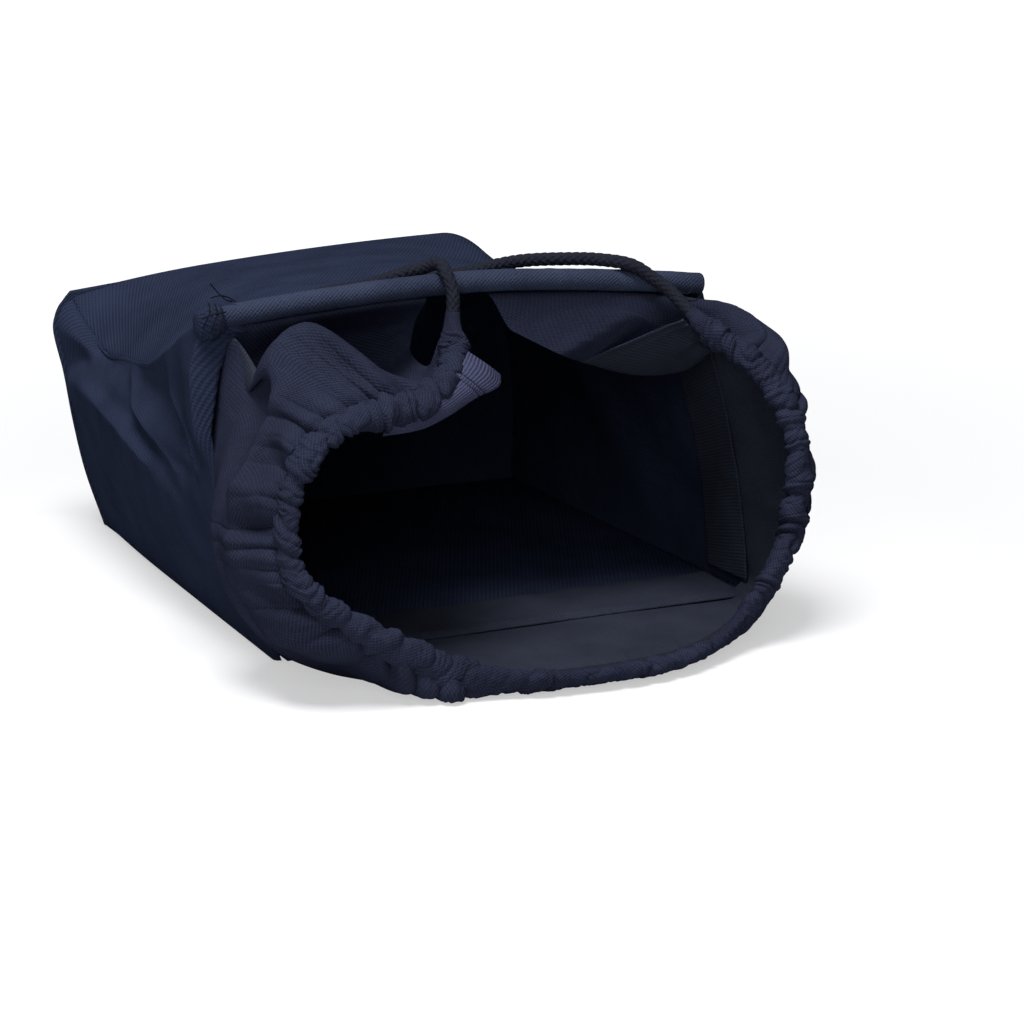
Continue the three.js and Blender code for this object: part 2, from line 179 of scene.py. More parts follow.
# Curves through points, and places along them
def curve(points, per_span=12, closed=False):
    p = np.asarray(points, float)
    if closed:
        p = np.vstack([p[-1:], p, p[:2]])
    else:
        p = np.vstack([2 * p[0] - p[1], p, 2 * p[-1] - p[-2]])
    gap = np.maximum(np.linalg.norm(np.diff(p, axis=0), axis=1), 1e-9) ** 0.5
    w = (np.arange(per_span) / per_span)[:, None]
    spans = []
    for k in range(1, len(p) - 2):
        p0, p1, p2, p3 = p[k - 1:k + 3]
        d0, d1, d2 = gap[k - 1:k + 2]
        m1 = ((p1 - p0) / d0 - (p2 - p0) / (d0 + d1) + (p2 - p1) / d1) * d1
        m2 = ((p2 - p1) / d1 - (p3 - p1) / (d1 + d2) + (p3 - p2) / d2) * d1
        spans.append(p1 + m1 * w + (3 * p2 - 3 * p1 - 2 * m1 - m2) * w ** 2
                     + (2 * p1 - 2 * p2 + m1 + m2) * w ** 3)
    spans.append(p[-2:-1])
    return np.vstack(spans)


def reach(points):
    steps = np.linalg.norm(np.diff(points, axis=0), axis=1)
    return np.concatenate([[0.0], np.cumsum(steps)])


def along(points, distances):
    at = reach(points)
    return np.stack([np.interp(distances, at, points[:, k]) for k in range(points.shape[1])], axis=-1)


def shared_out(points, count):
    return along(points, np.linspace(0, reach(points)[-1], count))


# Two cross directions at each point of a line, turning as little as they can
def frames(points):
    tangent = unit(np.gradient(points, axis=0))
    across = np.empty_like(tangent)
    across[0] = UP - np.dot(UP, tangent[0]) * tangent[0]
    for k in range(1, len(points)):
        across[k] = across[k - 1] - np.dot(across[k - 1], tangent[k]) * tangent[k]
        across[k] /= np.linalg.norm(across[k])
    across[0] /= np.linalg.norm(across[0])
    return across, np.cross(tangent, across)


# A mesh from a grid of places in millimetres; its weave map holds the cloth's own metres
def cloth_grid(name, grid, material, wrap=False, thickness=0.0, offset=-1.0, flip=False, caps=False,
               turn=False, lining=None):
    rows, columns = grid.shape[:2]
    steps = columns if wrap else columns - 1
    i, j = np.meshgrid(np.arange(rows - 1), np.arange(steps), indexing="ij")
    corners = [(i, j), (i, j + 1), (i + 1, j + 1), (i + 1, j)]
    if flip:
        corners.reverse()
    faces = np.stack([r * columns + c % columns for r, c in corners], axis=-1).reshape(-1, 4)
    laid = np.concatenate([grid, grid[:, :1]], axis=1) if wrap else grid
    down = np.concatenate([[0], np.cumsum(np.linalg.norm(np.diff(laid, axis=0), axis=2).mean(1))])
    across = np.concatenate([[0], np.cumsum(np.linalg.norm(np.diff(laid, axis=1), axis=2).mean(0))])
    uv = np.stack([np.stack([across[c], down[r]], axis=-1) for r, c in corners], axis=2).reshape(-1, 2)
    if turn:
        uv = uv[:, ::-1]
    faces = faces.tolist()
    if caps:
        ends = [list(range(columns)), list(range((rows - 1) * columns, rows * columns))]
        ends[1 if flip else 0].reverse()
        faces += ends
        uv = np.vstack([uv, np.zeros((2 * columns, 2))])
    mesh = bpy.data.meshes.new(name)
    mesh.from_pydata((grid.reshape(-1, 3) * MM).tolist(), [], faces)
    mesh.uv_layers.new(name="weave").data.foreach_set("uv", (uv * MM).ravel())
    mesh.polygons.foreach_set("use_smooth", [True] * len(mesh.polygons))
    piece = bpy.data.objects.new(name, mesh)
    bpy.context.scene.collection.objects.link(piece)
    mesh.materials.append(material)
    if thickness:
        solid = piece.modifiers.new("cloth", "SOLIDIFY")
        solid.thickness = thickness * MM
        solid.offset = offset
        if lining:
            mesh.materials.append(lining)
            solid.material_offset = 1
    return piece


# A tube along a line: radius is one number or one for each point and angle
def tube_grid(points, radius, sides):
    across, up = frames(points)
    angle = np.arange(sides) * TAU / sides
    ring = np.cos(angle)[None, :, None] * across[:, None] + np.sin(angle)[None, :, None] * up[:, None]
    return points[:, None] + ring * np.broadcast_to(radius, (len(points), sides))[..., None]


# Fabric that folds between the bag's body and its front: here its place is only baked into its mesh
def fold_with_front(piece):
    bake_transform(piece)


# Materials
class Paint:
    def __init__(self, name):
        self.material = bpy.data.materials.new(name)
        self.material.use_nodes = True
        self.tree = self.material.node_tree
        self.shader = self.tree.nodes["Principled BSDF"]

    def node(self, kind, links=None, **settings):
        made = self.tree.nodes.new(kind)
        for key, value in settings.items():
            setattr(made, key, value)
        for socket, value in (links or {}).items():
            if isinstance(value, bpy.types.NodeSocket):
                self.tree.links.new(value, made.inputs[socket])
            else:
                made.inputs[socket].default_value = value
        return made

    def math(self, operation, a, b=0.0, c=0.0):
        return self.node("ShaderNodeMath", {0: a, 1: b, 2: c}, operation=operation).outputs[0]

    def own_place(self):
        return self.node("ShaderNodeTexCoord").outputs["Object"]

    def waves(self, place, direction, pitch):
        steps = [TAU / pitch * x for x in direction]
        dot = self.node("ShaderNodeVectorMath", {0: place, 1: steps}, operation="DOT_PRODUCT")
        return self.math("SINE", dot.outputs["Value"])

    def noise(self, place, scale, detail=2.0):
        links = {"Vector": place, "Scale": scale, "Detail": detail}
        return self.node("ShaderNodeTexNoise", links).outputs["Fac"]

    def ramp(self, factor, low, high):
        links = {0: factor, 6: (*low, 1), 7: (*high, 1)}
        return self.node("ShaderNodeMix", links, data_type="RGBA").outputs[2]

    def set(self, **values):
        for name, value in values.items():
            self.shader.inputs[name.replace("_", " ")].default_value = value

    def bump(self, height, distance):
        made = self.node("ShaderNodeBump", {"Height": height, "Distance": distance})
        self.tree.links.new(made.outputs[0], self.shader.inputs["Normal"])

    def colour(self, socket):
        self.tree.links.new(socket, self.shader.inputs["Base Color"])

    def rough(self, socket):
        self.tree.links.new(socket, self.shader.inputs["Roughness"])


# Scales of the noise in cloth, and its shares in the weave's height, tone and roughness
PATCH_SCALE = 35.0
FIBRE_SCALE = 1400.0
CREASE_SCALE = 45.0
WEAVE_HEIGHT = 0.85
FIBRE_HEIGHT = 1.6
FIBRE_SINK = 0.4
PATCH_TONE = 0.5
LEAST_TONE = 0.1
PATCH_ROUGH = 0.2


def woven(name, dark, light, rib, weft, slope, contrast, roughness, depth, check=0.25, crumple=0.0):
    paint = Paint(name)
    laid = paint.node("ShaderNodeUVMap", uv_map="weave").outputs[0]
    solid = paint.own_place()
    patches = paint.noise(solid, PATCH_SCALE, 3.0)
    fibres = paint.noise(solid, FIBRE_SCALE, 1.0)
    turn = math.radians(slope)
    ribs = paint.waves(laid, (math.cos(turn), math.sin(turn), 0), rib)
    crossing = paint.waves(laid, (-math.sin(turn), math.cos(turn), 0), weft)
    height = paint.math("MULTIPLY_ADD", crossing, check, paint.math("MULTIPLY", ribs, WEAVE_HEIGHT - check))
    height = paint.math("MULTIPLY_ADD", fibres, FIBRE_HEIGHT, paint.math("SUBTRACT", height, FIBRE_SINK))
    ground = paint.math("MULTIPLY_ADD", patches, PATCH_TONE, LEAST_TONE)
    tone = paint.math("MULTIPLY_ADD", height, contrast, ground)
    paint.colour(paint.ramp(paint.node("ShaderNodeClamp", {"Value": tone}).outputs[0], dark, light))
    paint.rough(paint.math("MULTIPLY_ADD", patches, PATCH_ROUGH, roughness - PATCH_ROUGH / 2))
    paint.set(Specular_IOR_Level=0.0)
    creases = paint.math("ABSOLUTE", paint.math("SUBTRACT", paint.noise(solid, CREASE_SCALE), 0.5))
    paint.bump(paint.math("MULTIPLY_ADD", creases, crumple, height), depth)
    return paint.material


def speckled(name, dark, light, scale, detail, depth=0.0, **finish):
    paint = Paint(name)
    grain = paint.noise(paint.own_place(), scale, detail)
    paint.colour(paint.ramp(grain, dark, light))
    paint.set(**finish)
    if depth:
        paint.bump(grain, depth)
    return paint.material


# Colours, then the weave's pitches in metres and its slope in degrees
PAINT = {
    "lining": woven("cloth_inside", (0.0125, 0.0148, 0.0245), (0.056, 0.064, 0.093), rib=0.0016,
                    weft=0.0011, slope=8, contrast=0.2, roughness=0.85, depth=0.00012),
    "twill": woven("navy_twill", (0.0108, 0.0144, 0.029), (0.0435, 0.0568, 0.109), rib=0.0019,
                   weft=0.0012, slope=-25, contrast=0.22, roughness=0.85, depth=0.00016),
    # The sleeve's twill is a lighter, higher-contrast copy of the panel's twill: painted light on the
    # sleeve's lit top and painted highlights on its threads
    "hem": woven("sleeve_twill_painted_light", (0.008, 0.0108, 0.0225), (0.078, 0.098, 0.168), rib=0.0013,
                 weft=0.0013, slope=50, contrast=0.2, roughness=0.8, depth=0.0002, check=0.4),
    # The tab is the collar's nylon with a far lighter light colour: painted sheen where its satin catches
    # the light
    "tab": woven("hemmed_nylon_painted_sheen", (0.0073, 0.0085, 0.017), (0.128, 0.138, 0.252), rib=0.0011,
                 weft=0.0008, slope=0, contrast=0.3, roughness=0.55, depth=0.0002),
    "nylon": woven("ribbed_nylon", (0.0054, 0.0062, 0.0116), (0.047, 0.054, 0.099), rib=0.0012,
                   weft=0.0014, slope=35, contrast=0.22, roughness=0.55, depth=0.0001, check=0.3,
                   crumple=28.0),
    "drawcord": speckled("black_braid", (0.0073, 0.0077, 0.0128), (0.033, 0.0355, 0.0525), scale=1800.0,
                         detail=2.0, depth=0.0002, Roughness=0.6, Specular_IOR_Level=0.0),
    "thread": speckled("black_thread", (0.0036, 0.0036, 0.006), (0.022, 0.023, 0.036), scale=2500.0,
                       detail=1.0, Roughness=0.7, Specular_IOR_Level=0.0),
    # Pale plastic, the rod's own colour; its pale end at the sleeve's open end also stands in for the glint
    # there, a painted glint
    "rod": speckled("pale_plastic_painted_glint", (0.52, 0.53, 0.56), (0.68, 0.69, 0.72), scale=300.0, detail=2.0,
                    Roughness=0.3),
}


# The rod's centre line, and the front panel's upper face
def rod_point(u):
    height = lerp(ROD_HEIGHT_LEFT, ROD_HEIGHT_RIGHT, u) + ROD_BOW * np.sin(np.pi * u)
    return places(lerp(-BAG_WIDTH / 2, BAG_WIDTH / 2, u) + MOUTH_LEAN, MOUTH_Y, height)


PANEL_RISE = SLEEVE_RADIUS - TWILL
PANEL_START = MOUTH_Y + math.sqrt(SLEEVE_RADIUS ** 2 - PANEL_RISE ** 2) + CLEARANCE


def near_seam(distance, span):
    return np.clip(1 - distance / span, 0, 1) ** 2


def panel_point(u, v):
    left_edge = near_seam(u * BAG_WIDTH, LEFT_REACH)
    right_edge = near_seam((1 - u) * BAG_WIDTH, RIGHT_REACH)
    corner = near_seam((1 - u) * BAG_WIDTH, CORNER_REACH)
    slump = (1 - (1 - v) ** 4) * (1 - v ** 16)
    base = lerp(BASE_HEIGHT_LEFT, BASE_HEIGHT_RIGHT, u) + BASE_BOW * np.sin(np.pi * u) - CORNER_DROP * corner
    x = lerp(-BAG_WIDTH / 2, BAG_WIDTH / 2, u) + lerp(MOUTH_LEAN, BASE_LEAN, v)
    x = x + LEFT_SHIFT * np.sin(np.pi * v ** 2) * left_edge
    z = lerp(rod_point(u)[..., 2] - PANEL_RISE, base, v)
    z = z - LEFT_SAG * slump * left_edge - RIGHT_SAG * np.sin(np.pi * v) * right_edge
    return places(x, lerp(PANEL_START, BASE_Y, v), z)


def edge_roll(distance, radius):
    inside = np.clip(radius - distance, 0, radius)
    return radius - np.sqrt(radius ** 2 - inside ** 2)


def crowded(count):
    return (1 - np.cos(np.linspace(0, np.pi, count))) / 2


# Soft unevenness of the front panel, calm beside its seams, and how its edges roll down to them
PANEL_WAVES = 1.1
PANEL_RIPPLES = 0.25
CALM_EDGE = 20.0
LEFT_ROLL = 2.0
RIGHT_ROLL = 4.0
BASE_ROLL = 1.5


def front_panel():
    u, v = np.meshgrid(crowded(150), np.linspace(0, 1, 170), indexing="xy")
    grid = panel_point(u, v)
    x, y = grid[..., 0], grid[..., 1]
    soft = ripple(x, y, 46, 1) * PANEL_WAVES + ripple(x, y, 19, 2) * PANEL_RIPPLES
    edges = np.minimum(np.minimum(u, 1 - u) * BAG_WIDTH, (1 - v) * BAG_LENGTH)
    grid[..., 2] += soft * smooth(edges / CALM_EDGE)
    grid[..., 2] -= edge_roll(u * BAG_WIDTH, LEFT_ROLL) + edge_roll((1 - u) * BAG_WIDTH, RIGHT_ROLL)
    grid[..., 2] -= edge_roll((1 - v) * BAG_LENGTH, BASE_ROLL)
    piece = cloth_grid("front_panel_cloth", grid, PAINT["twill"], thickness=THIN_TWILL)
    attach(piece, "front")
    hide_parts("front_panel")


# Shallow dents and pulls of the sleeve, and the bevel at the rod's ends
SLEEVE_SIDES = 40
SLEEVE_DENTS = 0.25
DENT_TURN = 0.6
SLEEVE_PULLS = 0.12
ROD_BEVEL = 0.5


def sleeve_and_rod():
    line = shared_out(curve(rod_point(np.linspace(0, 1, 9))), 260)
    at = np.linspace(0, BAG_WIDTH, len(line))
    angle = np.arange(SLEEVE_SIDES) * TAU / SLEEVE_SIDES
    dents = wobble(at, 26, 3)[:, None] * np.cos(angle - DENT_TURN)[None] * SLEEVE_DENTS
    pulls = ripple(at[:, None], angle[None] * 4, 5, 4) * SLEEVE_PULLS
    grid = tube_grid(line, SLEEVE_RADIUS + dents + pulls, SLEEVE_SIDES)
    # The sleeve takes the lighter copy of the twill, which is painted light for its lit top
    piece = cloth_grid("rod_sleeve_cloth", grid, PAINT["hem"], wrap=True, thickness=SLEEVE_CLOTH, turn=True)
    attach(piece, "front")
    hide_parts("rod_sleeve")
    inside = shared_out(line + (ROD_SHOWS, 0, 0), 60)
    taper = np.full(len(inside), ROD_RADIUS)
    taper[[0, -1]] -= ROD_BEVEL
    grid = tube_grid(inside, taper[:, None], 24)
    rod = cloth_grid("stiffening_rod", grid, PAINT["rod"], wrap=True, caps=True)
    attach(rod, "front")
    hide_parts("rod")


# How far the left gusset lies under the front panel's edge, and stops before the mouth
SEAM_TUCK = 3.0
MOUTH_STOP = 2.0


def left_gusset_grid():
    seam = panel_point(np.zeros(200), np.linspace(1, 0, 200))
    seam[:, 2] -= SEAM_TUCK
    stations = np.linspace(BASE_Y, MOUTH_Y + MOUTH_STOP, 300)
    lines = []
    for row in LEFT_LINES:
        y, x, z = curve(row).T
        lines.append(places(np.interp(-stations, -y, x), stations, np.interp(-stations, -y, z)))
    x = np.interp(-stations, -seam[:, 1], seam[:, 0])
    z = np.interp(-stations, -seam[:, 1], seam[:, 2])
    lines.append(places(x, stations, z))
    lines = np.stack(lines, axis=1)
    return np.stack([shared_out(curve(section), 170) for section in lines])


# Crisp ridges across the slumped left gusset: height, half width, and (y, z) from base to mouth
GUSSET_RIDGES = [
    (2.4, 5, [(112, 88), (100, 86), (17, 76), (-40, 68)]),
    (3.0, 5, [(45, 101), (21, 97), (-1, 89), (-85, 73)]),
    (3.0, 5, [(-58, 114), (-72, 111), (-82, 107), (-112, 78)]),
]

# How each ridge fades in and out along its line, and the shallow valley below it
RIDGE_RISE = 25.0
RIDGE_FALL = 15.0
VALLEY_PLACE = 1.7
VALLEY_DEPTH = 0.5


def gusset_ridges(y, z):
    total = np.zeros_like(y)
    for height, width, points in GUSSET_RIDGES:
        line_y, line_z = np.array(points, float).T
        above = z - np.interp(-y, -line_y, line_z)
        ends = smooth((line_y[0] - y) / RIDGE_RISE) * smooth((y - line_y[-1]) / RIDGE_FALL)
        valley = np.exp(-((above + VALLEY_PLACE * width) / width) ** 2)
        total += height * ends * (np.exp(-np.abs(above) / width) - VALLEY_DEPTH * valley)
    return total


# The left hem stands out beside the mouth, between two heights, and turns to face the mouth
HEM_BULGE = 4.5
BULGE_START = -95.0
BULGE_RISE = 30.0
BULGE_HEIGHTS = (85.0, 145.0)
BULGE_FADE = 20.0
HEM_TURN = 3.0
GUSSET_RIPPLES = 0.5
TOP_TUCK = 1.2


def left_gusset():
    grid = left_gusset_grid()
    y, z = grid[..., 1], grid[..., 2]
    tuck = TOP_TUCK * np.linspace(0, 1, grid.shape[1])[None] ** 40
    bulge = HEM_BULGE * smooth((BULGE_START - y) / BULGE_RISE) * between(z, *BULGE_HEIGHTS, BULGE_FADE)
    soft = GUSSET_RIPPLES * ripple(y, z, 21, 5) * smooth(z / 15)
    grid[..., 0] += soft + tuck - bulge - gusset_ridges(y, z)
    mouth = grid[-1]
    heights, widths = np.array(LEFT_HEM, float).T
    width = np.interp(mouth[:, 2], heights, widths)
    turned = []
    for share in np.linspace(0.1, 1, 10):
        turn = share * np.pi / 2
        turned.append(mouth + places(width * (1 - np.cos(turn)), -HEM_TURN * np.sin(turn), 0))
    grid = np.concatenate([grid, np.stack(turned)])
    piece = cloth_grid("left_gusset_cloth", grid, PAINT["twill"], thickness=THIN_TWILL, flip=True, turn=True)
    fold_with_front(piece)
    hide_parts("left_gusset")


# Walls that show little: their foot, their laps under and past other cloth, and their folds
WALL_FOOT = 0.6
RIGHT_DROP = 2.0
RIGHT_LAP = 1.5
BASE_DROP = 1.4
BASE_LAP = 1.0
BASE_INSET = 0.5
WALL_RIPPLES = 1.2
WALL_FOLDS = 3.0
WALL_SLANT = 0.6
BASE_DEPTH = 130.0
BASE_SLANT = 90.0


def right_gusset_point(y, w):
    v = np.clip((y - PANEL_START) / (BASE_Y - PANEL_START), 0, 1)
    seam = panel_point(np.ones_like(v), v)
    z = lerp(WALL_FOOT, seam[..., 2] - RIGHT_DROP, w)
    return places(lerp(BAG_WIDTH / 2, seam[..., 0], w) + WALL_BULGE * np.sin(np.pi * w), y, z)


def right_gusset():
    stations = np.linspace(MOUTH_Y, BASE_Y + RIGHT_LAP, 140)
    y, w = np.meshgrid(stations, np.linspace(0, 1, 90), indexing="ij")
    grid = right_gusset_point(y, w)
    z = grid[..., 2]
    soft = ripple(y, z, 30, 6) * WALL_RIPPLES + ripple(y + WALL_SLANT * z, z - y, 55, 18) * WALL_FOLDS
    grid[..., 0] += soft * np.sin(np.pi * w)
    piece = cloth_grid("right_gusset_cloth", grid, PAINT["twill"], thickness=TWILL)
    fold_with_front(piece)
    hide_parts("right_gusset")


def base_gusset():
    u, w = np.meshgrid(crowded(120), np.linspace(0, 1, 90), indexing="xy")
    left = left_gusset_grid()[0]
    height = reach(left)
    left_x = np.interp(w, height / height[-1], left[:, 0])
    seam = panel_point(u, np.ones_like(u))
    right_x = right_gusset_point(np.full_like(w, BASE_Y), w)[..., 0]
    swell = WALL_BULGE * np.sin(np.pi * u) * np.sin(np.pi * w)
    across, up = u * BAG_WIDTH, w * BASE_DEPTH
    soft = ripple(across, up, 34, 7) * WALL_RIPPLES
    soft = soft + ripple(across, up + u * BASE_SLANT, 58, 19) * WALL_FOLDS
    soft = soft * np.sin(np.pi * w) * np.sin(np.pi * u)
    x = lerp(left_x - BASE_LAP, right_x + BASE_LAP, u)
    z = lerp(WALL_FOOT, seam[..., 2] - BASE_DROP, w)
    grid = places(x, BASE_Y - BASE_INSET + swell + soft, z)
    piece = cloth_grid("base_gusset_cloth", grid, PAINT["twill"], thickness=TWILL, flip=True)
    fold_with_front(piece)
    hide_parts("base_gusset")


# The back panel lies flat below and is a little uneven above, less so near its edges
BACK_RISE = 1.3
BACK_EDGE = 8.0


def back_panel():
    y = np.linspace(MOUTH_Y, BASE_Y, 110)
    x = np.linspace(-BAG_WIDTH / 2, BAG_WIDTH / 2, 100)
    across, length = np.meshgrid(x, y, indexing="xy")
    outward = np.maximum(abs(across) * 2 / BAG_WIDTH, abs(length) * 2 / BAG_LENGTH)
    crown = TWILL + (ripple(across, length, 38, 8) + 1) * BACK_RISE * smooth((1 - outward) * BACK_EDGE)
    top = places(across, length, crown)
    floor = places(across, length, 0)[:, ::-1]
    closed = np.concatenate([top, floor], axis=1)
    piece = cloth_grid("back_panel_cloth", closed, PAINT["twill"], wrap=True, caps=True)
    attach(piece, "bag_body")
    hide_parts("back_panel")


# Turned-in hems inside the mouth: their reach up the walls, gaps to them, and the lower one's lip
LEFT_COLUMNS = slice(6, -24)
LEFT_GAP = 3.0
RIGHT_REACH_UP = (0.05, 0.97)
RIGHT_GAP = 2.9
RIGHT_RIPPLES = 0.4
LOW_HALF_WIDTH = 110.0
LOW_HEIGHT = 4.2
LOW_RIPPLES = 0.6
LOW_LIP = 3.0
LIP_BEND = 2.0
LIP_DROP = 1.5


def hem_facings():
    deep = MOUTH_Y + FACING_DEPTH
    left = left_gusset_grid()
    left = left[left[:, 0, 1] < deep][:, LEFT_COLUMNS] + (LEFT_GAP, 0, 0)
    y, w = np.meshgrid(np.linspace(MOUTH_Y, deep, 40), np.linspace(*RIGHT_REACH_UP, 90), indexing="ij")
    right = right_gusset_point(y, w)
    right[..., 0] -= RIGHT_GAP + RIGHT_RIPPLES * ripple(y, right[..., 2], 12, 9)
    across = np.linspace(-LOW_HALF_WIDTH, LOW_HALF_WIDTH, 90)
    x, y = np.meshgrid(across, np.linspace(MOUTH_Y - LOW_LIP, deep, 40), indexing="xy")
    turned = smooth((MOUTH_Y + LIP_BEND - y) / (LOW_LIP + LIP_BEND))
    low = places(x, y, LOW_HEIGHT - LIP_DROP * turned + LOW_RIPPLES * ripple(x, y, 14, 10) * (1 - turned))
    # The right and lower facings take the collar's lighter inside cloth, which runs on there; its lighter
    # colour also stands in for light falling into the mouth, so it is partly painted light
    for node, grid, paint in (("left", left, "twill"), ("right", right, "lining"), ("lower", low, "lining")):
        piece = cloth_grid(node + "_hem_cloth", grid, PAINT[paint], thickness=FACING_CLOTH)
        fold_with_front(piece)
        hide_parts(node + "_hem_facing")


# Folded corner of the side hem, sewn over the sleeve's left end: its half sizes, slant and lumps
PATCH_HALF_LENGTH = 6.0
PATCH_DEPTH = 6.3
PATCH_BOXY = 0.8
PATCH_BLUNT = 0.3
PATCH_RISE = 5.5
PATCH_FALL = 8.5
FALL_LOSS = 2.5
PATCH_BACK = 1.0
PATCH_SLANT = 3.0
PATCH_DROP = 0.6
PATCH_LUMPS = 0.1


def sleeve_patch():
    end = rod_point(np.zeros(1))[0]
    angle = np.arange(60) * TAU / 60
    boxy = np.sign(np.cos(angle)) * np.abs(np.cos(angle)) ** PATCH_BOXY
    rings = []
    for share in np.linspace(0.01, 0.99, 50):
        lump = 1 + PATCH_LUMPS * ripple(share * 14 + 2 * np.sin(angle), 20 + 4 * np.cos(angle), 1.6, 11)
        size = lump * math.sin(math.pi * share) ** PATCH_BLUNT
        tall = np.where(angle < np.pi, PATCH_RISE, PATCH_FALL - FALL_LOSS * share)
        x = lerp(-PATCH_HALF_LENGTH, PATCH_HALF_LENGTH, share)
        y = boxy * PATCH_DEPTH * size + PATCH_BACK - PATCH_SLANT * share
        rings.append(places(x, y, np.sin(angle) * tall * size - PATCH_DROP) + end)
    grid = np.stack(rings)
    piece = cloth_grid("sleeve_corner_patch", grid, PAINT["twill"], wrap=True, caps=True, flip=True)
    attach(piece, "front")
    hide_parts("sleeve_end_patch")


# Routes of the drawcord: in its channel, and free over the sleeve
def mouth_point(row):
    across, up, forward = row
    height = max(up * MOUTH_HEIGHT, CHANNEL_RADIUS + CLEARANCE)
    return across * BAG_WIDTH / 2 + MOUTH_LEAN * up, MOUTH_Y - forward, height


PER_ROW = 16
CORD_LOOP = curve([mouth_point(row) for row in CHANNEL_ROUTE + FREE_ROUTE], PER_ROW, closed=True)
EXIT = (len(CHANNEL_ROUTE) - 1) * PER_ROW
CHANNEL_LINE = CORD_LOOP[:EXIT + 1]
FREE_LINE = CORD_LOOP[EXIT:]
CHANNEL_LENGTH = reach(CHANNEL_LINE)[-1]
CHANNEL_TANGENTS = unit(np.gradient(CHANNEL_LINE, axis=0))

# Place across and height along the left edge where the collar is sewn on
LEFT_EDGE = [(-137.5, 141), (-140.5, 124), (-142.2, 110.6), (-145.5, 88), (-143.5, 70),
             (-138, 52), (-128, 30), (-116.5, 9)]

# How far the sewn edge lies before the mouth, above the floor, below the sleeve and inside the wall
SEWN_POINTS = 9
SEWN_AHEAD = 1.2
SEWN_LIFT = 1.2
SEWN_UNDER = 0.9
SEWN_INSIDE = 1.0
CORNER_SHARE = 0.05


def sewn_edge():
    y = MOUTH_Y - SEWN_AHEAD
    under = SLEEVE_RADIUS + SEWN_UNDER
    left = rod_point(np.linspace(SLIT - HALF_SLIT, CORNER_SHARE, SEWN_POINTS))
    right = rod_point(np.linspace(1 - CORNER_SHARE, SLIT + HALF_SLIT, SEWN_POINTS))
    w = np.linspace(CORNER_SHARE, 1 - CORNER_SHARE, SEWN_POINTS)
    wall = right_gusset_point(np.full(SEWN_POINTS, MOUTH_Y), w)
    low = lerp(-BAG_WIDTH / 2, BAG_WIDTH / 2, w)
    rows = [places(left[:, 0], y, left[:, 2] - under)]
    rows.append(places(*np.array([(x, y, z) for x, z in LEFT_EDGE]).T))
    rows.append(places(low, y, SEWN_LIFT))
    rows.append(places(wall[:, 0] - SEWN_INSIDE, y, wall[:, 2]))
    rows.append(places(right[:, 0], y, right[:, 2] - under))
    return curve(np.vstack(rows))


SEWN = sewn_edge()
SEWN_LENGTH = reach(SEWN)[-1]
RIGHT_CORNER = 1 - (BAG_WIDTH * (1 - SLIT - HALF_SLIT)) / SEWN_LENGTH
BUNCHED = SLIT_GATHER / CHANNEL_LENGTH


def channel_share(s):
    bunch = 1 - BUNCHED * (1 - s) / (1 - RIGHT_CORNER)
    return np.where(s < RIGHT_CORNER, s / RIGHT_CORNER * (1 - BUNCHED), bunch)


def sewn_share(share):
    bunch = 1 - (1 - share) * (1 - RIGHT_CORNER) / BUNCHED
    return np.where(share < 1 - BUNCHED, share / (1 - BUNCHED) * RIGHT_CORNER, bunch)


# Places that the collar runs through between its sewn edge and its channel, by share round it
COLLAR_RIBS = [
    (0.0, (-49, -118, 140), (-49, -113, 127), (-50, -136, 124)),
    (0.025, (-67, -110, 136), (-64, -108, 119), (-57, -137, 115)),
    (0.05, (-85, -108, 133), (-81, -108, 116), (-70, -143, 112)),
    (0.07, (-99, -109, 131), (-95, -111, 115), (-86, -150, 118)),
    (0.085, (-109, -112, 130), (-106, -117, 115), (-99, -156, 138)),
    (0.1, (-120, -119, 130), (-117, -129, 118), (-114, -160, 151)),
    (0.115, (-129, -124, 130), (-126, -133, 118), (-123, -161, 148)),
    (0.13, (-136, -133, 142), (-133, -136, 118), (-129, -162, 142)),
    (0.14, (-133, -138, 136), (-134, -148, 125), (-133, -164, 136)),
    (0.155, (-132, -143, 127), (-132, -154, 126.5), (-133, -167, 127)),
    (0.175, (-135, -148, 115), (-135, -160, 113), (-130, -177, 115)),
    (0.2, (-147, -152, 98), (-144, -165, 97), (-137, -181, 99)),
    (0.225, (-155, -154, 80), (-152, -168, 80), (-144, -184, 83)),
    (0.25, (-158, -156, 64), (-155, -171, 65), (-147, -187, 67)),
    (0.275, (-155, -157, 46), (-153, -174, 48), (-145, -190, 50)),
    (0.3, (-145, -157, 29), (-144, -176, 31), (-137, -195, 37)),
    (0.325, (-128, -154, 12), (-126, -175, 14), (-122, -198, 23)),
    (0.35, (-102, -152, 1.5), (-98, -177, 2), (-97, -203, 9)),
    (0.375, (-86, -155, 1.5), (-88, -185, 2), (-87, -208, 5)),
    (0.4, (-70, -160, 1.5), (-72, -192, 1.5), (-73, -212, 3)),
    (0.45, (-33, -160, 1.5), (-36, -190, 1.5), (-40, -212, 2)),
    (0.5, (3, -158, 1.5), (-3, -187, 1.5), (-9, -211, 2)),
    (0.55, (37, -155, 1.5), (30, -180, 1.5), (22, -203, 2.5)),
    (0.6, (71, -152, 2), (63, -175, 2.5), (53, -197, 5)),
    (0.65, (107, -150, 5), (98, -170, 8), (85, -189, 14)),
    (0.7, (114, -148, 36), (112, -166, 38), (104, -184, 41)),
    (0.75, (111, -146, 71), (115, -163, 71), (112, -181, 71)),
    (0.8, (104, -145, 107), (111, -160, 107), (110, -175, 104)),
    (0.825, (98, -143, 126), (108, -156, 128), (107, -169, 123)),
    (0.854, (88, -139, 142), (97, -150, 139), (98, -162, 131)),
]

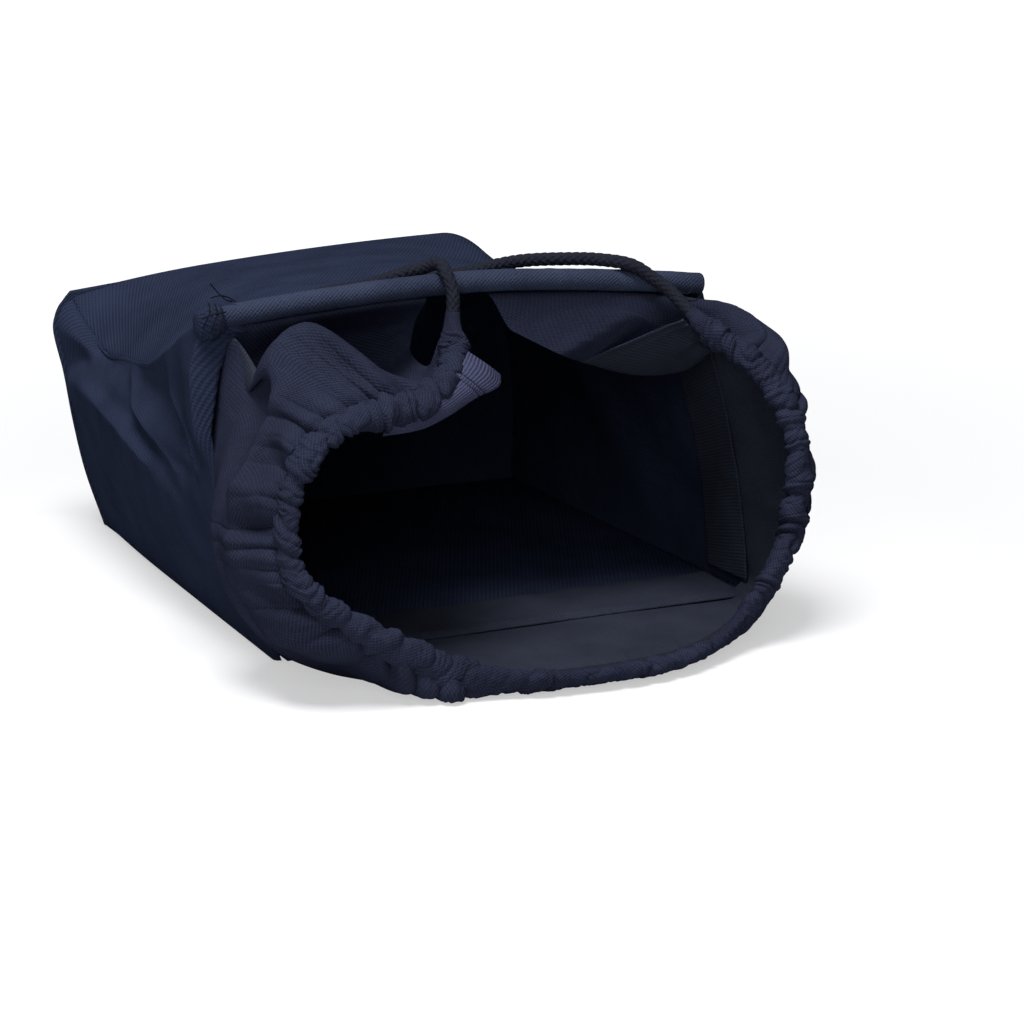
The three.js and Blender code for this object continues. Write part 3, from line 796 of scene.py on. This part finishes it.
# Beyond the right corner the collar's end droops: the top of its flap, its fold and its sag
FLAP_LINES = [
    [(74, -136, 143.5), (54, -133, 143.7), (29, -131.5, 143.5), (-11, -131.5, 136)],
    [(70, -137, 138.4), (59, -134, 134), (51, -134.5, 137.8), (31.5, -135, 130.2), (13, -136, 123)],
    [(84, -142, 121.6), (78.2, -132, 111.7), (69, -120, 106.5), (50.6, -117, 108.8), (27, -124, 117.2)],
]


def off_tangent(vectors, tangent):
    return vectors - (vectors * tangent).sum(-1, keepdims=True) * tangent


def collar_ends(s):
    sewn = along(SEWN, s * SEWN_LENGTH)
    at = channel_share(s) * CHANNEL_LENGTH
    drawn = along(CHANNEL_LINE, at)
    turns = [np.interp(at, reach(CHANNEL_LINE), CHANNEL_TANGENTS[:, k]) for k in range(3)]
    return sewn, drawn, unit(np.stack(turns, -1))


# How far the collar reaches inside the mouth, and into its channel
COLLAR_INSIDE = 7.0
CHANNEL_LAP = 2.0


def rib_lines(s):
    share = np.clip((s - RIGHT_CORNER) / (1 - RIGHT_CORNER), 0, 1)
    lines = []
    for k, tail in enumerate(FLAP_LINES):
        rows = [(row[0] * SEWN_LENGTH, *row[k + 1]) for row in COLLAR_RIBS]
        body = curve(rows)
        end = curve(np.vstack([rows[-1][1:], tail]))
        here = np.stack([np.interp(s * SEWN_LENGTH, body[:, 0], body[:, j]) for j in (1, 2, 3)], -1)
        lines.append(np.where((s < RIGHT_CORNER)[:, None], here, along(end, share * reach(end)[-1])))
    return lines


def soft_corners(points, rounds):
    for _ in range(rounds):
        cut = np.empty((2 * len(points) - 2, 3))
        cut[0::2] = lerp(points[:-1], points[1:], 0.25)
        cut[1::2] = lerp(points[:-1], points[1:], 0.75)
        cut[0], cut[-1] = points[0], points[-1]
        points = cut
    return points


def collar_base(s, columns):
    sewn, drawn, tangent = collar_ends(s)
    lines = rib_lines(s)
    edge = drawn + unit(off_tangent(lines[-1] - drawn, tangent)) * (CHANNEL_RADIUS - CHANNEL_LAP)
    tucked = sewn + (0, COLLAR_INSIDE, 0)
    grid = np.empty((len(s), columns, 3))
    for k in range(len(s)):
        ends = np.stack([tucked[k], sewn[k]] + [line[k] for line in lines] + [edge[k]])
        whole = curve(ends) if s[k] < RIGHT_CORNER else soft_corners(shared_out(ends, 30), 2)
        grid[k] = shared_out(whole, columns)
    return grid


# Puckers along the channel: distances where they start, how far each stands out and reaches
PUCKER_SIZES = (0.3, 1.2)
PUCKER_REACHES = (3.5, 11)
PUCKER_ROUND = 0.75
PUCKER_SINK = 0.4


def puckers(seed, least, most):
    rng = np.random.default_rng(RNG_SEED + seed)
    starts = np.cumsum(rng.uniform(least, most, int(CHANNEL_LENGTH / least) + 4)) - most
    return starts, rng.uniform(*PUCKER_SIZES, len(starts)), rng.uniform(*PUCKER_REACHES, len(starts))


BIG_PUCKERS = puckers(30, 7, 17)
SMALL_PUCKERS = puckers(31, 3, 7)


def gather(x, rows, t=None):
    starts, sizes, reaches = rows
    k = np.clip(np.searchsorted(starts, x) - 1, 0, len(starts) - 2)
    share = np.clip((x - starts[k]) / (starts[k + 1] - starts[k]), 0, 1)
    lobe = sizes[k] * np.sin(np.pi * share) ** PUCKER_ROUND - PUCKER_SINK
    return lobe if t is None else lobe * t ** reaches[k]


# Long folds of the collar: place round it, lean, width, where they start and end, and height
COLLAR_FOLDS = [
    (0.112, 0.00, 0.005, 0.68, 1.1, -5),
    (0.187, 0.02, 0.007, 0.6, 1.1, -4),
    (0.212, 0.02, 0.007, 0.55, 1.1, 4),
    (0.232, 0.02, 0.007, 0.6, 1.1, -5),
    (0.268, 0.03, 0.008, 0.6, 1.1, -5),
    (0.298, 0.04, 0.008, 0.5, 1.1, 4),
    (0.330, 0.03, 0.009, 0.55, 1.1, -4),
    (0.720, 0.02, 0.010, 0.2, 1.05, -3),
    (0.775, 0.01, 0.008, 0.3, 1.05, -3),
    (0.815, 0.00, 0.007, 0.3, 1.05, -4),
]

# Folds that run round the collar's left side: from and to, where across it at each end, width and height
ROUND_FOLDS = [
    (0.14, 0.36, 0.48, 0.58, 0.10, -4.5),
    (0.14, 0.27, 0.66, 0.72, 0.06, 4),
]


def collar_folds(s, t):
    total = np.zeros_like(s)
    for first, last, here, there, width, height in ROUND_FOLDS:
        span = np.clip((s - first) / (last - first), 0, 1)
        total += height * np.sin(np.pi * span) ** 0.7 * np.exp(-((t - lerp(here, there, span)) / width) ** 2)
    for place, lean, width, start, end, height in COLLAR_FOLDS:
        span = np.clip((t - start) / (end - start), 0, 1)
        total += height * np.sin(np.pi * span) * np.exp(-((s - place - lean * (t - 0.5)) / width) ** 2)
    return total


# Where the collar's left side slumps, and how far its puckers, slack cloth and rim stand out
SLUMPED = (0.15, 0.37, 0.04)
SLUMP_REACH = 0.45
BIG_HEIGHT = 6.5
SLUMP_HEIGHT = 3.5
SMALL_HEIGHT = 1.2
SMALL_SHIFT = 3.0
DRIFT = 5.0
SLACK = 1.3
FINE_SLACK = 0.35
RIM = 3.0
RIM_FADE = 0.08
FLOOR_GAP = 0.2


def collar():
    s = np.linspace(0, 1, 1300)
    t = np.linspace(0, 1, 80)
    ss, tt = np.meshgrid(s, t, indexing="ij")
    grid = collar_base(s, len(t))
    normal = unit(np.cross(np.gradient(grid, axis=0), np.gradient(grid, axis=1)))
    at = channel_share(ss) * CHANNEL_LENGTH
    drift = at + ripple(at, tt * 60, 24, 12) * DRIFT * (1 - tt)
    slumped = between(ss, *SLUMPED)
    big = gather(drift, BIG_PUCKERS, tt ** (1 - SLUMP_REACH * slumped))
    big = big * (BIG_HEIGHT + SLUMP_HEIGHT * slumped * (1 - tt ** 6))
    small = gather(drift + SMALL_SHIFT, SMALL_PUCKERS, tt) * SMALL_HEIGHT
    slack = ripple(at, tt * 70, 19, 13) * SLACK * np.sin(np.pi * tt)
    slack = slack + ripple(at, tt * 70, 8, 14) * FINE_SLACK * tt
    rim = RIM * tt ** 8 * smooth((1 - tt) / RIM_FADE)
    height = big + small + slack + collar_folds(ss, tt) + rim
    grid = grid + normal * height[..., None]
    grid[..., 2] = np.maximum(grid[..., 2], NYLON + FLOOR_GAP)
    piece = cloth_grid("collar_cloth", grid, PAINT["nylon"], thickness=NYLON, offset=0, flip=True,
                       lining=PAINT["lining"])
    fold_with_front(piece)
    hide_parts("collar")


# The channel is narrow at both exits, round the cord alone, and starts a little up the cord
EXIT_TAPER = 17.0
EXIT_BULB = 0.3
BULB_SPREAD = 0.6
EXIT_RADIUS = 3.1
CHANNEL_WIDE = 6.4
CHANNEL_THICK = 5.0
CHANNEL_SIDES = 48

# Its lobes between puckers, flatter where it lies on the floor, smaller where it hangs at the left
CALM = (0.31, 0.68, 0.05)
CALM_LOSS = 0.3
HANGING = (0.12, 0.34, 0.04)
HANGING_LOSS = 0.2
LOBE_SIZE = 1.05
BIG_LOBES = 0.46
SMALL_LOBES = 0.2
LOBE_CREASES = 0.16
LOBE_LEAN = 2.5
LOBE_DRIFT = 5.0


def channel():
    whole = np.vstack([FREE_LINE[-PER_ROW - 1:-1], CHANNEL_LINE])
    ahead = reach(whole)[PER_ROW]
    distance = np.linspace(0, reach(whole)[-1], 1900)
    centre = along(whole, distance)
    at = np.maximum(distance - ahead, 0)
    s = sewn_share(at / CHANNEL_LENGTH)
    tangent = unit(np.gradient(centre, axis=0))
    out = unit(off_tangent(rib_lines(s)[-1] - collar_ends(s)[1], tangent))
    side = np.cross(tangent, out)
    angle = np.arange(CHANNEL_SIDES) * TAU / CHANNEL_SIDES
    round_x, round_y = np.cos(angle)[None], np.sin(angle)[None]
    drift = LOBE_DRIFT * ripple(at[:, None] + 4 * round_y, 20 + 5 * round_x, 9, 15)
    slant = at[:, None] + LOBE_LEAN * round_x + drift
    creases = np.abs(ripple(at[:, None] + 3 * round_y, 20 + 4 * round_x, 2.2, 16))
    flatter = 1 - CALM_LOSS * between(s, *CALM)[:, None]
    lobes = BIG_LOBES * gather(slant, BIG_PUCKERS) + SMALL_LOBES * gather(slant + SMALL_SHIFT, SMALL_PUCKERS)
    smaller = LOBE_CREASES * creases + HANGING_LOSS * between(s, *HANGING)[:, None]
    lobes = LOBE_SIZE + lobes * flatter - smaller
    inward = (np.minimum(distance, distance[-1] - distance) / EXIT_TAPER)[:, None]
    opened = smooth(inward) + EXIT_BULB * np.exp(-((inward - 1) / BULB_SPREAD) ** 2)
    wide = lerp(EXIT_RADIUS, CHANNEL_WIDE * lobes, opened)
    thick = lerp(EXIT_RADIUS, CHANNEL_THICK * lobes * flatter, opened)
    ring = out[:, None] * (round_x * wide)[..., None]
    grid = centre[:, None] + ring + side[:, None] * (round_y * thick)[..., None]
    grid[..., 2] = np.maximum(grid[..., 2] - CHANNEL_THICK * (1 - flatter), CLEARANCE)
    piece = cloth_grid("cord_channel_cloth", grid, PAINT["nylon"], wrap=True, thickness=NYLON)
    fold_with_front(piece)
    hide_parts("cord_channel")


# Hemmed end of the collar that hangs from the channel's first stretch
TAB_INNER = [(-42.5, -158, 133), (-49.5, -164, 126.7), (-60, -170, 120.8), (-73, -175, 116.8),
             (-92, -182, 114)]
TAB_OUTER = [(-29.5, -162, 122.7), (-31, -164.5, 119.2), (-43.5, -168.5, 115.8), (-69.5, -175, 107),
             (-90, -178, 106)]
TAB_CROWN = 2.5
TAB_RIPPLES = 0.5

# Shares along the tab of its two rows of stitches, and how deep and wide they pull the cloth in
TAB_SEAMS = (0.2, 0.245)
SEAM_DEPTH = 1.8
SEAM_WIDTH = 0.01


def tab_point(a, b):
    inner, outer = (shared_out(curve(edge), 200) for edge in (TAB_INNER, TAB_OUTER))
    at = np.linspace(0, 1, 200)
    ends = [np.stack([np.interp(a, at, edge[:, k]) for k in range(3)], -1) for edge in (inner, outer)]
    grid = lerp(ends[0], ends[1], b[..., None])
    grid[..., 1] -= TAB_CROWN * np.sin(np.pi * b) + ripple(a * 60, b * 18, 9, 17) * TAB_RIPPLES * b
    for seam in TAB_SEAMS:
        grid[..., 1] += SEAM_DEPTH * np.exp(-((a - seam) / SEAM_WIDTH) ** 2)
    return grid


def tab():
    a, b = np.meshgrid(np.linspace(0, 1, 160), np.linspace(0, 1, 44), indexing="ij")
    # The tab's lighter nylon is painted sheen
    piece = cloth_grid("collar_tab_cloth", tab_point(a, b), PAINT["tab"], thickness=TAB_CLOTH, offset=0)
    fold_with_front(piece)
    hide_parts("collar_tab")


# Thread: rows of stitches that dip in and out of the cloth, and ends that came loose
THREAD_RADIUS = 0.32
STITCH = 2.6
STITCH_RISE = 1.3
STITCH_SINK = 0.5
OVER_SLEEVE_END = [
    [(-151, -137, 148), (-150, -138.5, 151), (-148, -137.5, 155), (-147, -133, 157.5)],
    [(-148.5, -138.5, 146), (-147, -139.5, 150.5), (-145, -138, 154.5), (-144.5, -133.5, 157)],
    [(-151.5, -137, 152), (-148, -139, 153.5), (-144, -138.5, 154), (-141, -137, 154)],
    [(-145.5, -139, 145.5), (-144, -139.5, 150), (-142.5, -137.5, 154), (-142, -133, 156)],
]
LOOSE_ENDS = [
    [(-144, -127, 164.5), (-142, -127, 162), (-140, -128, 159.5), (-138, -130, 157.5), (-136, -131, 157)],
    [(-146, -133, 159.5), (-142, -132, 160), (-138, -131, 159), (-135, -132, 157)],
    [(66, -141, 149), (69, -143, 147.5), (71.5, -143, 147.5), (74, -142, 149.5)],
    [(68, -143, 147), (70.5, -145, 144.5), (74, -145, 144.5), (76.5, -144, 146)],
    [(64, -142, 146), (66, -145, 143), (68.5, -146.5, 141.5), (70, -146, 139)],
]


def thread(name, line):
    return cloth_grid(name, tube_grid(line, THREAD_RADIUS, 8), PAINT["thread"], wrap=True, caps=True)


def threads():
    for k, points in enumerate(OVER_SLEEVE_END + LOOSE_ENDS):
        piece = thread("thread_end_%d" % k, shared_out(curve(points), 40))
        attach(piece, "front")
    for k, seam in enumerate(TAB_SEAMS):
        line = shared_out(tab_point(np.full(100, seam), np.linspace(0.04, 0.96, 100)), 160)
        line[:, 1] -= STITCH_RISE * np.abs(np.sin(np.pi * reach(line) / STITCH)) - STITCH_SINK
        piece = thread("tab_stitches_%d" % k, line)
        fold_with_front(piece)


# Braid of the drawcord: two families of strands that pass over and under each other
STRANDS = 6
BRAID_PITCH = 7.0
STRAND_SINK = 0.7
STRAND_HEIGHT = 0.95
STRAND_ROUND = 0.6
STRAND_UNDER = 0.5


def braid_tube(line, sides, step):
    line = shared_out(line, int(reach(line)[-1] / step))
    at = reach(line)[:, None]
    turn = (np.arange(sides) / sides)[None]
    one = STRANDS * turn + at / BRAID_PITCH * 2
    two = STRANDS * turn - at / BRAID_PITCH * 2
    first = np.abs(np.cos(np.pi * one)) ** STRAND_ROUND
    second = np.abs(np.cos(np.pi * two)) ** STRAND_ROUND
    over = (np.floor(one + 0.5) + np.floor(two + 0.5)) % 2 == 0
    under = np.maximum(second, first * STRAND_UNDER)
    high = np.where(over, np.maximum(first, second * STRAND_UNDER), under)
    return line, tube_grid(line, CORD_DIAMETER / 2 - STRAND_SINK + STRAND_HEIGHT * high, sides)


def drawcord():
    line, grid = braid_tube(FREE_LINE, 42, 0.45)
    piece = cloth_grid("drawcord_loop", grid, PAINT["drawcord"], wrap=True, caps=True)
    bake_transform(piece)
    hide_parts("drawcord_right_run", "drawcord_bight", "drawcord_left_run")
    _, grid = braid_tube(CHANNEL_LINE, 20, 1.5)
    inside = cloth_grid("drawcord_in_channel", grid, PAINT["drawcord"], wrap=True, caps=True)
    fold_with_front(inside)
    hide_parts("drawcord_channel_run")


# Camera: its angles in degrees, the rest in metres, lens and sensor in millimetres
AZIMUTH = -25.7
ELEVATION = 14.1
DISTANCE = 1.305
AIM = (0.054, 0.0, 0.0179)
LENS = 92.53
SENSOR = 36


def camera():
    data = bpy.data.cameras.new("camera")
    data.lens = LENS
    data.sensor_width = SENSOR
    placed = bpy.data.objects.new("camera", data)
    bpy.context.scene.collection.objects.link(placed)
    a, e = math.radians(AZIMUTH), math.radians(ELEVATION)
    back = Vector((math.sin(a) * math.cos(e), -math.cos(a) * math.cos(e), math.sin(e)))
    placed.location = Vector(AIM) + back * DISTANCE
    placed.rotation_euler = (-back).to_track_quat("-Z", "Y").to_euler()
    bpy.context.scene.camera = placed


# Plain soft studio light: place, size, energy and colour of each lamp, and a sky brighter above
LAMPS = {
    "key": ((-0.4, -0.5, 1.5), 0.6, 22.5, (1, 1, 1)),
    "fill": ((-0.8, -1.4, 0.7), 0.8, 6, (0.95, 0.97, 1)),
}
LAMP_AIM = (0, 0, 0.08)
WHITE = (1, 1, 1, 1)
SKY = (0.93, 0.96, 1.0, 1)
SKY_LOW = 0.05
SKY_HIGH = 0.25


def area_light(name, location, size, energy, colour):
    data = bpy.data.lights.new(name, "AREA")
    data.size = size
    data.energy = energy
    data.color = colour
    lamp = bpy.data.objects.new(name, data)
    bpy.context.scene.collection.objects.link(lamp)
    lamp.location = location
    lamp.rotation_euler = (Vector(LAMP_AIM) - Vector(location)).to_track_quat("-Z", "Y").to_euler()


def seen_directly(tree):
    path = tree.nodes.new("ShaderNodeLightPath")
    most = path.outputs["Is Camera Ray"]
    for name in ("Is Glossy Ray", "Is Transmission Ray"):
        pick = tree.nodes.new("ShaderNodeMath")
        pick.operation = "MAXIMUM"
        tree.links.new(most, pick.inputs[0])
        tree.links.new(path.outputs[name], pick.inputs[1])
        most = pick.outputs[0]
    return most


def surroundings():
    world = bpy.data.worlds.new("studio")
    bpy.context.scene.world = world
    world.use_nodes = True
    tree = world.node_tree
    light = tree.nodes["Background"]
    light.inputs["Color"].default_value = SKY
    over = tree.nodes.new("ShaderNodeSeparateXYZ")
    tree.links.new(tree.nodes.new("ShaderNodeTexCoord").outputs["Generated"], over.inputs[0])
    level = tree.nodes.new("ShaderNodeMapRange")
    tree.links.new(over.outputs["Z"], level.inputs["Value"])
    level.inputs["To Min"].default_value = SKY_LOW
    level.inputs["To Max"].default_value = SKY_HIGH
    tree.links.new(level.outputs[0], light.inputs["Strength"])
    white = tree.nodes.new("ShaderNodeBackground")
    white.inputs["Color"].default_value = WHITE
    pick = tree.nodes.new("ShaderNodeMixShader")
    tree.links.new(seen_directly(tree), pick.inputs[0])
    tree.links.new(light.outputs[0], pick.inputs[1])
    tree.links.new(white.outputs[0], pick.inputs[2])
    tree.links.new(pick.outputs[0], tree.nodes["World Output"].inputs["Surface"])


# A pale floor that glows where it is seen or mirrored, half near the bag and fully further off
FLOOR_HALF = 6.0
FLOOR_LEVEL = -0.0005
FLOOR_COLOUR = (0.55, 0.55, 0.56, 1)
GLOW_NEAR = 0.3
GLOW_FAR = 1.4
LEAST_GLOW = 0.5
FULL_GLOW = 1.0


def pale_floor():
    square = ((-1, -1), (1, -1), (1, 1), (-1, 1))
    mesh = bpy.data.meshes.new("floor")
    mesh.from_pydata([(x * FLOOR_HALF, y * FLOOR_HALF, FLOOR_LEVEL) for x, y in square], [], [(0, 1, 2, 3)])
    floor = bpy.data.objects.new("floor", mesh)
    bpy.context.scene.collection.objects.link(floor)
    paint = Paint("pale_floor")
    paint.set(Base_Color=FLOOR_COLOUR, Roughness=0.9, Specular_IOR_Level=0.0)
    away = paint.node("ShaderNodeVectorMath", {0: paint.own_place()}, operation="LENGTH").outputs["Value"]
    reaches = {0: away, 1: GLOW_NEAR, 2: GLOW_FAR, 3: LEAST_GLOW, 4: FULL_GLOW}
    level = paint.node("ShaderNodeMapRange", reaches).outputs[0]
    strength = paint.math("MULTIPLY", seen_directly(paint.tree), level)
    glow = paint.node("ShaderNodeEmission", {"Color": WHITE, "Strength": strength})
    both = paint.node("ShaderNodeAddShader", {0: paint.shader.outputs[0], 1: glow.outputs[0]})
    paint.tree.links.new(both.outputs[0], paint.tree.nodes["Material Output"].inputs["Surface"])
    mesh.materials.append(paint.material)


def studio():
    bpy.context.scene.view_settings.view_transform = "Standard"
    surroundings()
    for name, lamp in LAMPS.items():
        area_light(name, *lamp)
    pale_floor()


camera()
studio()
drawcord()
front_panel()
sleeve_and_rod()
sleeve_patch()
left_gusset()
right_gusset()
base_gusset()
back_panel()
hem_facings()
collar()
channel()
tab()
threads()
